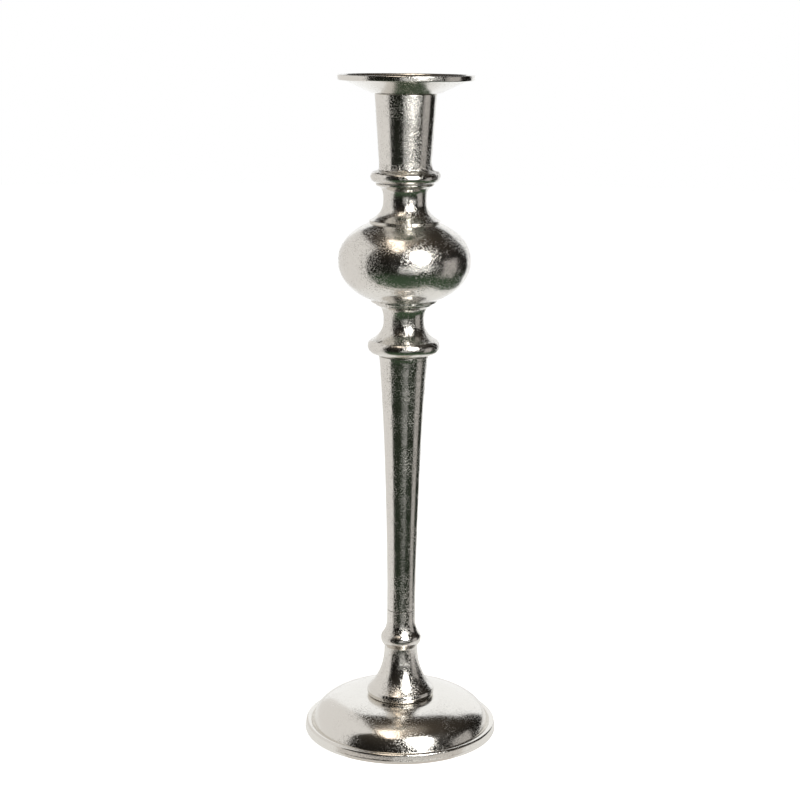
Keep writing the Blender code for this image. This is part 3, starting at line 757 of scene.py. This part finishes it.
def plated_nickel(name, finish, depth, stain, rough_places=()):
    """Nickel plate over a sand casting: bright and slightly warm, with sandy pits under the shine.

    The pits break up each dark reflection into specks, and stain is how far the tarnish in them
    shows. Rough places are stretches of height, in millimetres, where solder or a missed file
    stroke left the metal coarser.
    """
    material, tree, shader, place = new_finish(name, {"Metallic": 1.0})
    grains = 1.0 / finish.grain_size
    cells = add(tree, "ShaderNodeTexVoronoi", {"Vector": place, "Scale": grains})
    chosen = add(tree, "ShaderNodeSeparateColor", (cells.outputs["Color"],))
    some = add(tree, RANGE, {"Value": chosen, "From Min": 0.4, "From Max": 0.85})
    bowl = add(tree, RANGE, {"Value": cells.outputs["Distance"], "From Min": 0.15, "From Max": 0.5,
                             "To Min": 1.0, "To Max": 0.0}, interpolation_type="SMOOTHSTEP")
    pits = add(tree, MATH, (bowl, some), operation="MULTIPLY")
    sand = add(tree, NOISE, {"Vector": place, "Scale": grains * 0.9, "Detail": 2.0, "Roughness": 0.7})
    flecks = add(tree, RANGE, {"Value": sand, "From Min": 0.51, "From Max": 0.64})
    grain = add(tree, MATH, (pits, flecks), operation="MAXIMUM")
    patches = add(tree, NOISE, {"Vector": place, "Scale": 1.0 / (14.0 * MM), "Detail": 2.0})
    coarse = add(tree, RANGE, {"Value": patches, "From Min": 0.35, "From Max": 0.62, "To Min": 0.3})
    level = add(tree, SEPARATE, (place,)).outputs["Z"]
    for low, high, extra in rough_places:
        middle, reach = (low + high) / 2 * MM, (high - low) / 2 * MM
        away = apart(tree, level, middle)
        here = add(tree, RANGE, {"Value": away, "From Min": 0.6 * reach, "From Max": reach,
                                 "To Min": extra, "To Max": 0.0})
        coarse = add(tree, MATH, (coarse, here), operation="ADD")
    worn = add(tree, MATH, (grain, coarse), operation="MULTIPLY")
    deep = add(tree, MATH, (worn, -1.0), operation="MULTIPLY")
    stained = add(tree, MATH, (worn, stain), operation="MULTIPLY", use_clamp=True)
    tone = add(tree, MIX, {"Factor": stained, MIX_A: (*finish.nickel, 1.0),
                           MIX_B: (*finish.tarnish, 1.0)}, data_type="RGBA")
    gloss = add(tree, RANGE, {"Value": worn, "To Min": finish.roughness, "To Max": finish.pit_roughness})
    dress(tree, shader, tone, deep, depth, gloss)
    return material


def cast_nickel(finish):
    """The finish of the stacked castings, coarser where the cup is soldered to its bead."""
    rough = (CUP_Z + SOLDERED[0], CUP_Z + SOLDERED[1], SOLDER_COARSE)
    return bpy.data.materials.get("sand_cast_nickel") or plated_nickel(
        "sand_cast_nickel", finish, finish.grain_depth, CAST_STAIN, [rough])


def polished_nickel(finish):
    """The finish of the base and the drip plate, which are polished further."""
    return bpy.data.materials.get("smooth_polished_nickel") or plated_nickel(
        "smooth_polished_nickel", finish, finish.grain_depth * POLISHED_DEPTH, POLISHED_STAIN)


NICKELS = {"cast_nickel": cast_nickel, "polished_nickel": polished_nickel}


def zinc_plate(finish):
    """Bright zinc plate on steel screws: cool grey, with the faint mottle of the plating bath."""
    ready = bpy.data.materials.get("bright_zinc_plate")
    if ready:
        return ready
    material, tree, shader, place = new_finish("bright_zinc_plate", {"Metallic": 1.0})
    mottle = add(tree, NOISE, {"Vector": place, "Scale": 1.0 / (1.6 * MM), "Detail": 4.0})
    dark, light = shades(finish.steel, 0.72, 1.0)
    tone = add(tree, MIX, {"Factor": mottle, MIX_A: dark, MIX_B: light}, data_type="RGBA")
    gloss = add(tree, RANGE, {"Value": mottle, "To Min": 0.24, "To Max": 0.42})
    drawn = add(tree, NOISE, {"Vector": place, "Scale": 1.0 / (0.3 * MM), "Detail": 2.0})
    dress(tree, shader, tone, drawn, 0.01 * MM, gloss)
    return material


def pressed_board(finish):
    """Grey board pressed from waste paper: matt, with flecks of fibre lighter and darker than the rest."""
    material, tree, shader, place = new_finish("pressed_grey_board", {"Roughness": 0.88})
    pulp = add(tree, NOISE, {"Vector": place, "Scale": 1.0 / (2.5 * MM), "Detail": 6.0, "Roughness": 0.7})
    fleck = add(tree, "ShaderNodeTexVoronoi", {"Vector": place, "Scale": 1.0 / (1.4 * MM)})
    speck = add(tree, RANGE, {"Value": fleck.outputs["Distance"], "From Min": 0.08, "From Max": 0.2,
                              "To Min": 1.0, "To Max": 0.0})
    dark, light, darkest = shades(finish.board, 0.6, 1.25, 0.45)
    shade = add(tree, MIX, {"Factor": pulp, MIX_A: dark, MIX_B: light}, data_type="RGBA")
    tone = add(tree, MIX, {"Factor": speck, MIX_A: shade.outputs[MIX_RESULT], MIX_B: darkest},
               data_type="RGBA")
    dress(tree, shader, tone, pulp, 0.06 * MM)
    return material


def wool_felt(finish):
    """Black pressed felt: matted fibres, dull, with a soft grey bloom at grazing angles."""
    material, tree, shader, place = new_finish(
        "pressed_wool_felt", {"Roughness": 0.95, "Sheen Weight": 0.35, "Sheen Roughness": 0.6})
    mat = add(tree, NOISE, {"Vector": place, "Scale": 1.0 / (0.9 * MM), "Detail": 8.0,
                            "Roughness": 0.75, "Distortion": 1.4})
    tufts = add(tree, NOISE, {"Vector": place, "Scale": 1.0 / (6.0 * MM), "Detail": 3.0})
    dark, light, tuft = shades(finish.felt, 0.5, 2.2, 1.3)
    shade = add(tree, MIX, {"Factor": mat, MIX_A: dark, MIX_B: light}, data_type="RGBA")
    tone = add(tree, MIX, {"Factor": tufts, MIX_A: shade.outputs[MIX_RESULT], MIX_B: tuft}, data_type="RGBA")
    dress(tree, shader, tone, mat, 0.25 * MM)
    return material


# ---- Operators ----
def settings(context):
    """The three groups of sizes and colours."""
    scene = context.scene
    return scene.candlestick_sizes, scene.candlestick_casting, scene.candlestick_finish


def threaded(sizes, bottom, top):
    """The thread step's values, from one height to another in millimetres."""
    return ("thread", {"Radius": sizes.thread_radius, "Pitch": sizes.thread_pitch,
                       "Depth": THREAD_DEPTH * MM, "Bottom": bottom * MM, "Top": top * MM})


def make_casting(context, piece, node, outline, height, number, strength=1.0, seam=0.0, body=STAND,
                 slot="cast_nickel", further=(), **turning):
    """Turn a casting, give it its uneven surface and put it in its node's place."""
    sizes, casting, finish = settings(context)
    segments = round(casting.segments * FACET_SHARES[node])
    steps = [waves(casting, number, strength, seam), *further]
    obj = turned_piece(piece, outline(sizes), height, segments, NICKELS[slot](finish), steps, **turning)
    fit(obj, node, body)
    return {"FINISHED"}


class MakeBase(bpy.types.Operator):
    """Make the domed foot"""

    bl_idname = "candlestick.make_base"
    bl_label = "Base"

    def execute(self, context):
        return make_casting(context, "base_casting", "base", base_outline, 0.0, number=1, strength=0.35,
                            slot="polished_nickel")


class MakeFootStem(bpy.types.Operator):
    """Make the trumpet-shaped foot stem"""

    bl_idname = "candlestick.make_foot_stem"
    bl_label = "Foot stem"

    def execute(self, context):
        return make_casting(context, "foot_stem_casting", "foot_stem", foot_stem_outline, FOOT_STEM_Z,
                            number=2)


class MakeShaft(bpy.types.Operator):
    """Make the tapered shaft"""

    bl_idname = "candlestick.make_shaft"
    bl_label = "Shaft"

    def execute(self, context):
        return make_casting(context, "shaft_casting", "shaft", shaft_outline, SHAFT_Z, number=3)


class MakeKnop(bpy.types.Operator):
    """Make the bulb with its two necks, disc and ring"""

    bl_idname = "candlestick.make_knop"
    bl_label = "Knop"

    def execute(self, context):
        return make_casting(context, "knop_casting", "knop", knop_outline, KNOP_Z, number=4, seam=1.0,
                            start=context.scene.candlestick_casting.seam_angle, crowding=SEAM_CROWDING)


class MakeCandleCup(bpy.types.Operator):
    """Make the candle cup, with the solder round its foot"""

    bl_idname = "candlestick.make_candle_cup"
    bl_label = "Candle cup"

    def execute(self, context):
        solder = ("solder", {"Joint Height": 7.0 * MM, "Rise": 5.0 * MM, "Bulge": 1.5 * MM,
                             "Run Angle": math.radians(-2.0), "Run Width": 0.28,
                             "Outside Radius": 14.8 * MM})
        return make_casting(context, "cup_casting", "candle_cup", candle_cup_outline, CUP_Z, number=5,
                            further=[solder])


class MakeDripPlate(bpy.types.Operator):
    """Make the lift-off drip plate"""

    bl_idname = "candlestick.make_drip_plate"
    bl_label = "Drip plate"

    def execute(self, context):
        return make_casting(context, "plate_casting", "drip_plate", drip_plate_outline, PLATE_Z, number=6,
                            strength=0.8, body=PLATE, slot="polished_nickel")


class MakeStuds(bpy.types.Operator):
    """Make the three threaded studs"""

    bl_idname = "candlestick.make_studs"
    bl_label = "Studs"

    def execute(self, context):
        sizes, _casting, finish = settings(context)
        reach = STUD_LENGTH / 2 - CHAMFER
        for node in ("shaft_stud", "knop_stud", "cup_stud"):
            low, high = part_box(node)
            obj = turned_piece(node + "_threaded", stud_outline(sizes), (low.z + high.z) / 2 / MM,
                               STUD_FACETS, zinc_plate(finish), [threaded(sizes, -reach, reach)])
            fit(obj, node, STAND)
        return {"FINISHED"}


class MakeFasteners(bpy.types.Operator):
    """Make the hexagon bolt and the two washers under the base"""

    bl_idname = "candlestick.make_fasteners"
    bl_label = "Bolt and washers"

    def execute(self, context):
        sizes, _casting, finish = settings(context)
        metal = zinc_plate(finish)
        flats = ("hexagon", {"Across Flats": ACROSS_FLATS * MM})
        thread = threaded(sizes, BOLT_HEAD_HEIGHT + PLAIN_SHANK, BOLT_HEAD_HEIGHT + BOLT_LENGTH - CHAMFER)
        bolt = turned_piece("hexagon_bolt", bolt_outline(sizes), BOLT_Z, BOLT_FACETS, metal, [flats, thread])
        fit(bolt, "base_bolt", STAND)
        flat = turned_piece("flat_washer", washer_outline(WASHER_RADIUS), WASHER_Z, WASHER_FACETS, metal)
        fit(flat, "base_washer", STAND)
        spring = turned_piece("spring_washer", washer_outline(LOCK_WASHER_RADIUS), LOCK_WASHER_Z,
                              WASHER_FACETS, metal)
        self.split(spring)
        fit(spring, "lock_washer", STAND)
        return {"FINISHED"}

    def split(self, washer):
        """Cut the gap in the spring washer."""
        bpy.ops.mesh.primitive_cube_add(size=1.0)
        cutter = bpy.context.object
        cutter.scale = (LOCK_WASHER_RADIUS * MM, LOCK_WASHER_SPLIT * MM, 3 * WASHER_THICKNESS * MM)
        cutter.location = (LOCK_WASHER_RADIUS * MM, 0.0, (LOCK_WASHER_Z + WASHER_THICKNESS / 2) * MM)
        cut = washer.modifiers.new("split", "BOOLEAN")
        cut.operation = "DIFFERENCE"
        cut.object = cutter
        bpy.context.view_layer.update()
        settle(washer, 0.0)
        bpy.data.objects.remove(cutter, do_unlink=True)


class MakeUnderside(bpy.types.Operator):
    """Make the board that closes the base and the felt under it"""

    bl_idname = "candlestick.make_underside"
    bl_label = "Board and felt"

    def execute(self, context):
        sizes, casting, finish = settings(context)
        radius = sizes.pad_radius / MM
        board = turned_piece("closing_board", disc_outline(radius, BOARD_THICKNESS), BOARD_Z,
                             casting.segments, pressed_board(finish), [waves(casting, 7, 0.5)])
        fit(board, "backing_board", STAND)
        felt = turned_piece("felt_disc", disc_outline(radius, FELT_THICKNESS), 0.0, casting.segments,
                            wool_felt(finish), [waves(casting, 8, 0.5)])
        fit(felt, "felt_pad", STAND)
        return {"FINISHED"}


class SetStage(bpy.types.Operator):
    """Make the floor, the studio's cards and lights, and the camera"""

    bl_idname = "candlestick.set_stage"
    bl_label = "Studio"

    def execute(self, context):
        studio = context.scene.candlestick_studio
        make_floor(studio)
        make_cards(studio)
        make_lights(studio)
        make_room(context.scene)
        make_camera(context.scene)
        context.scene.view_settings.view_transform = "Standard"
        return {"FINISHED"}


# ---- Stage, in metres ----
LEFT = -0.22                # where the white card stands, and the left end of table and backdrop
RIGHT = 0.17                # right end of the table's front edge
BACK = 0.5                  # where the table meets the backdrop
TABLE_FRONT = -0.05         # where the table top falls into shade
SHADE_FRONT = -0.1          # where that shade ends
CARD_FRONT = -0.112
CARD_TOP = 0.56
BACKDROP_RIGHT = 0.46
BACKDROP_TOP = 0.62
TABLE_BACK_RIGHT = 0.26     # right end of the table at the backdrop
SHADE = 0.76                # brightness of the table's shaded front, as a share of its top's
WALL_X = 2.0
WALL_FOOT = -0.9
WALL_BRIGHTNESS = 0.48
FLOOR_RADIUS = 4.0
FLOOR_FADE = (0.25, 0.9)    # from where to where the floor brightens outwards
FLOOR_DIM = 0.88            # brightness of the floor round the candlestick
CAMERA_PLACE = (0.0, -0.9998, 0.4211)
CAMERA_LENS = 76.7          # in millimetres, for a sensor 36 mm wide
CAMERA_SHIFT = -0.0039      # sideways, as a share of the sensor's width
CAMERA_DIP = 12.02          # how far it looks down, in degrees
CAMERA_TILT = 0.53          # how far it leans sideways, in degrees


def glowing(name, tint, strength):
    """A surface that shines evenly."""
    material = bpy.data.materials.new(name)
    material.use_nodes = True
    tree = material.node_tree
    tree.nodes.clear()
    light = add(tree, "ShaderNodeEmission", {"Color": (*tint, 1.0), "Strength": strength})
    add(tree, "ShaderNodeOutputMaterial", {"Surface": light})
    material.cycles.emission_sampling = "NONE"
    return material


def fading(name, tint, levels):
    """A surface that shines less and less downwards, by pairs of height and brightness."""
    material = glowing(name, tint, 0.0)
    tree = material.node_tree
    place = add(tree, "ShaderNodeTexCoord").outputs["Object"]
    height = add(tree, SEPARATE, (place,)).outputs["Z"]
    shine = levels[0][1]
    for (low, dim), (high, bright) in zip(levels, levels[1:]):
        rise = add(tree, RANGE, {"Value": height, "From Min": low, "From Max": high, "To Max": bright - dim})
        shine = add(tree, MATH, (shine, rise), operation="ADD")
    tree.links.new(shine.outputs[0], tree.nodes["Emission"].inputs["Strength"])
    return material


def lying(*places):
    """Corners of a sheet that lies on the table."""
    return [(x, y, 0.0) for x, y in places]


def standing(start, end, low, high):
    """Corners of an upright sheet between two places and two heights."""
    return [(*start, low), (*end, low), (*end, high), (*start, high)]


def panel(name, corners, material):
    """A flat sheet that belongs to the stage and shows only in reflections."""
    mesh = bpy.data.meshes.new(name)
    mesh.from_pydata(corners, [], [range(len(corners))])
    mesh.materials.append(material)
    obj = bpy.data.objects.new(name, mesh)
    bpy.context.scene.collection.objects.link(obj)
    obj.visible_camera = False
    obj.visible_diffuse = False
    obj.visible_shadow = False


def make_floor(studio):
    """Pale floor: one sheet that is seen, and the white table top that the metal mirrors."""
    bpy.ops.mesh.primitive_circle_add(vertices=96, radius=FLOOR_RADIUS, fill_type="NGON")
    floor = bpy.context.object
    floor.name = "floor"
    floor.visible_glossy = False
    material, tree, shader, place = new_finish("pale_floor", {
        "Base Color": (0.8, 0.8, 0.8, 1.0), "Roughness": 0.9, "Emission Color": (1.0, 1.0, 1.0, 1.0)})
    away = add(tree, VECTOR, (place,), operation="LENGTH").outputs["Value"]
    fade = add(tree, RANGE, {"Value": away, "From Min": FLOOR_FADE[0], "From Max": FLOOR_FADE[1],
                             "To Min": FLOOR_DIM})
    tree.links.new(fade.outputs[0], shader.inputs["Emission Strength"])
    floor.data.materials.append(material)
    panel("table_top", lying((LEFT, TABLE_FRONT), (RIGHT, TABLE_FRONT), (TABLE_BACK_RIGHT, BACK),
                             (LEFT, BACK)),
          glowing("white_table_top", (1.0, 0.995, 0.98), studio.floor))
    panel("table_front", lying((LEFT, SHADE_FRONT), (RIGHT, SHADE_FRONT), (RIGHT, TABLE_FRONT),
                               (LEFT, TABLE_FRONT)),
          glowing("shaded_table_front", (1.0, 0.95, 0.9), SHADE * studio.floor))


def make_cards(studio):
    """White card on the left, white sheet behind, a grey wall far off on the right and light spill."""
    panel("left_card", standing((LEFT, CARD_FRONT), (LEFT, BACK), 0.0, CARD_TOP),
          glowing("white_card", (1.0, 0.98, 0.962), studio.card))
    panel("backdrop", standing((LEFT, BACK), (BACKDROP_RIGHT, BACK), 0.0, BACKDROP_TOP),
          glowing("white_backdrop", (0.98, 0.99, 1.0), studio.backdrop))
    panel("right_wall", standing((WALL_X, -0.7), (WALL_X, 0.45), WALL_FOOT, BACKDROP_TOP),
          glowing("far_wall", (1.0, 0.96, 0.93), WALL_BRIGHTNESS))
    # The oval light spills onto what stands far off below it, brightest just under the light.
    panel("spill_below_key",
          [(-0.44, -3.14, 0.06), (-0.44, -3.14, -0.75), (1.06, -2.38, -0.75), (1.22, -2.30, -0.17),
           (1.63, -2.09, -0.08), (2.80, -1.49, -0.01), (2.80, -1.49, 0.06)],
          fading("light_spill", (1.0, 1.0, 0.98), ((-0.7, 0.4), (-0.17, 0.5), (-0.07, 0.65), (0.0, 1.9))))


def lamp(name, shape, place, size, turn, tint, brightness):
    """An area light that the metal mirrors with the given brightness."""
    data = bpy.data.lights.new(name, "AREA")
    data.shape = shape
    data.size, data.size_y = size
    data.color = tint
    share = math.pi / 4 if shape == "ELLIPSE" else 1.0
    data.energy = brightness * math.pi * size[0] * size[1] * share
    obj = bpy.data.objects.new(name, data)
    bpy.context.scene.collection.objects.link(obj)
    obj.location = place
    obj.rotation_euler = [math.radians(angle) for angle in turn]
    obj.visible_camera = False


def make_lights(studio):
    """A large oval light in front on the right, and a warm oblong one overhead."""
    lamp("key_light", "ELLIPSE", place=(0.395, -0.69, 0.66), size=(0.50, 0.84), turn=(62.7, 0.0, 29.8),
         tint=(1.0, 0.99, 0.97), brightness=studio.key)
    lamp("warm_light", "RECTANGLE", place=(-0.33, -0.75, 2.2), size=(0.65, 1.5), turn=(0.0, 0.0, 0.0),
         tint=(1.0, 0.87, 0.73), brightness=studio.warm)


def make_room(scene):
    """Dark room with a green tinge low down and a grey ceiling, and white for whoever looks past it."""
    world = bpy.data.worlds.new("studio_room")
    scene.world = world
    world.use_nodes = True
    tree = world.node_tree
    tree.nodes.clear()
    direction = add(tree, "ShaderNodeTexCoord").outputs["Generated"]
    up = add(tree, SEPARATE, (direction,)).outputs["Z"]
    share = add(tree, RANGE, {"Value": up, "From Min": -1.0, "From Max": 1.0})
    ramp = add(tree, "ShaderNodeValToRGB", {"Fac": share})
    stops = ((0.0, "#4A5A47"), (0.2, "#3D4E3B"), (0.36, "#23261F"), (0.46, "#171513"), (0.62, "#1C1A17"),
             (0.9, "#38332D"), (0.965, "#463F37"), (1.0, "#A89F93"))
    band = ramp.color_ramp
    for place, _tone in stops[2:]:
        band.elements.new(place)
    for element, (place, tone) in zip(sorted(band.elements, key=lambda e: e.position), stops):
        element.position = place
        element.color = (*linear(tone), 1.0)
    room = add(tree, "ShaderNodeBackground", {"Color": ramp, "Strength": 1.0})
    white = add(tree, "ShaderNodeBackground", {"Color": (1.0, 1.0, 1.0, 1.0), "Strength": 1.0})
    seen = add(tree, "ShaderNodeLightPath").outputs["Is Camera Ray"]
    mixed = add(tree, "ShaderNodeMixShader", (seen, room, white))
    add(tree, "ShaderNodeOutputWorld", {"Surface": mixed})


def make_camera(scene):
    """Camera a metre away, a little above the candlestick's top and looking down at its foot."""
    data = bpy.data.cameras.new("camera")
    data.sensor_width = 36.0
    data.lens = CAMERA_LENS
    data.shift_x = CAMERA_SHIFT
    camera = bpy.data.objects.new("camera", data)
    scene.collection.objects.link(camera)
    camera.location = CAMERA_PLACE
    looking = Matrix.Rotation(math.radians(90.0 - CAMERA_DIP), 3, "X")
    tilt = Matrix.Rotation(math.radians(CAMERA_TILT), 3, "Z")
    camera.rotation_euler = (looking @ tilt).to_euler()
    scene.camera = camera


# ---- Panel and registration ----
OPERATORS = (MakeBase, MakeFootStem, MakeShaft, MakeKnop, MakeCandleCup, MakeDripPlate, MakeStuds,
             MakeFasteners, MakeUnderside, SetStage)
GROUPS = {"candlestick_sizes": CandlestickSizes, "candlestick_casting": CandlestickCasting,
          "candlestick_finish": CandlestickFinish, "candlestick_studio": CandlestickStudio}


class CandlestickPanel(bpy.types.Panel):
    """Lists the candlestick's pieces and its settings"""

    bl_idname = "VIEW3D_PT_candlestick"
    bl_label = "Candlestick"
    bl_space_type = "VIEW_3D"
    bl_region_type = "UI"
    bl_category = "Candlestick"

    def draw(self, context):
        layout = self.layout
        for operator in OPERATORS:
            layout.operator(operator.bl_idname)
        for label, group in GROUPS.items():
            box = layout.box()
            for name in group.__annotations__:
                box.prop(getattr(context.scene, label), name)


def register():
    """Register the classes and hang the settings on the scene."""
    for cls in (*GROUPS.values(), *OPERATORS, CandlestickPanel):
        bpy.utils.register_class(cls)
    for label, group in GROUPS.items():
        setattr(bpy.types.Scene, label, bpy.props.PointerProperty(type=group))


def unregister():
    """Take the settings and the classes away again."""
    for label in GROUPS:
        delattr(bpy.types.Scene, label)
    for cls in reversed((*GROUPS.values(), *OPERATORS, CandlestickPanel)):
        bpy.utils.unregister_class(cls)


def main():
    """Build everything."""
    register()
    for operator in OPERATORS:
        family, name = operator.bl_idname.split(".")
        getattr(getattr(bpy.ops, family), name)()


if __name__ == "__main__":
    main()
